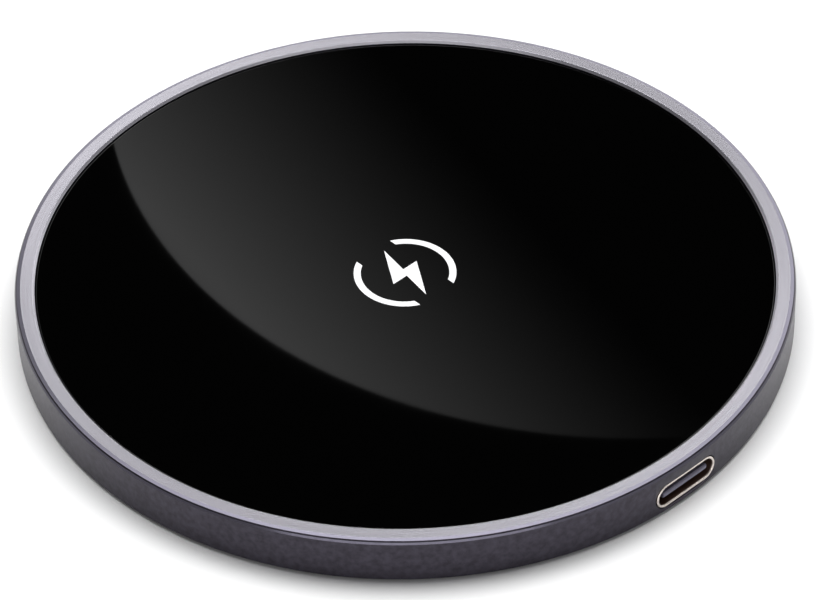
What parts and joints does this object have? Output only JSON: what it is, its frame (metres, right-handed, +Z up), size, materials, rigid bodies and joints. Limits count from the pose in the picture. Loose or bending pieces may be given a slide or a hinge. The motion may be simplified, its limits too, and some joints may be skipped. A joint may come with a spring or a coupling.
{
  "type": "wireless charging pad",
  "caption": "Thin round wireless charging pad with a black glass top in a satin aluminium ring and a USB-C port in its side.",
  "frame": {"origin": "centre of the plane that the foot ring rests on", "axes": "+Z up through the glass; the USB-C port opens towards -Y; +X to the right seen from the port with +Z up"},
  "size_m": [0.088, 0.088, 0.006],
  "materials": {
    "anodised_aluminium": "bead-blasted satin wall with a finely turned top land and a bright cut facet",
    "black_glass": "polished glass backed with black ink, opaque, gloss",
    "black_ink": "opaque black screen ink",
    "white_ink": "opaque white screen ink, 0.02 mm",
    "clear_adhesive": "acrylic foam tape",
    "base_plastic": "fine spark-eroded texture, charcoal",
    "foot_rubber": "matt silicone",
    "screw_steel": "black-zinc machine screw",
    "grey_foam": "open-cell foam",
    "ferrite": "sintered ferrite, dull grey-black",
    "copper_winding": "enamelled copper, satin",
    "tinned_copper": "tinned wire",
    "thermistor_epoxy": "black epoxy",
    "board_laminate": "glass-epoxy board with green solder mask",
    "chip_epoxy": "moulded black epoxy",
    "ceramic_capacitor": "tan ceramic body",
    "ferrite_inductor": "pressed metal-powder core",
    "resistor_ceramic": "black-glazed chip",
    "crystal_can": "nickel-plated lid",
    "nickel_steel": "warm nickel plating",
    "port_insulator": "glass-filled polymer, near black",
    "gold_contact": "gold plating"
  },
  "bodies": {
    "root": {"housing_ring": "anodised_aluminium", "glass_top": "black_glass", "black_film": "black_ink", "centre_mark": "white_ink", "glass_adhesive": "clear_adhesive", "base_cover": "base_plastic", "foot_ring": "foot_rubber", "base_screws": "screw_steel", "foam_pad": "grey_foam", "ferrite_plate": "ferrite", "coil_tape": "clear_adhesive", "transmit_coil": "copper_winding", "coil_lead_inner": "copper_winding", "coil_lead_outer": "copper_winding", "thermistor": "thermistor_epoxy", "thermistor_wires": "tinned_copper", "circuit_board": "board_laminate", "controller_chip": "chip_epoxy", "usb_power_chip": "chip_epoxy", "power_stage_chips": "chip_epoxy", "power_inductor": "ferrite_inductor", "resonant_capacitors": "ceramic_capacitor", "bulk_capacitors": "ceramic_capacitor", "small_capacitors": "ceramic_capacitor", "sense_resistor": "resistor_ceramic", "small_resistors": "resistor_ceramic", "crystal": "crystal_can", "usb_shell": "nickel_steel", "usb_insulator": "port_insulator", "usb_mid_plate": "nickel_steel", "usb_contacts_upper": "gold_contact", "usb_contacts_lower": "gold_contact"}
  },
  "joints": []
}
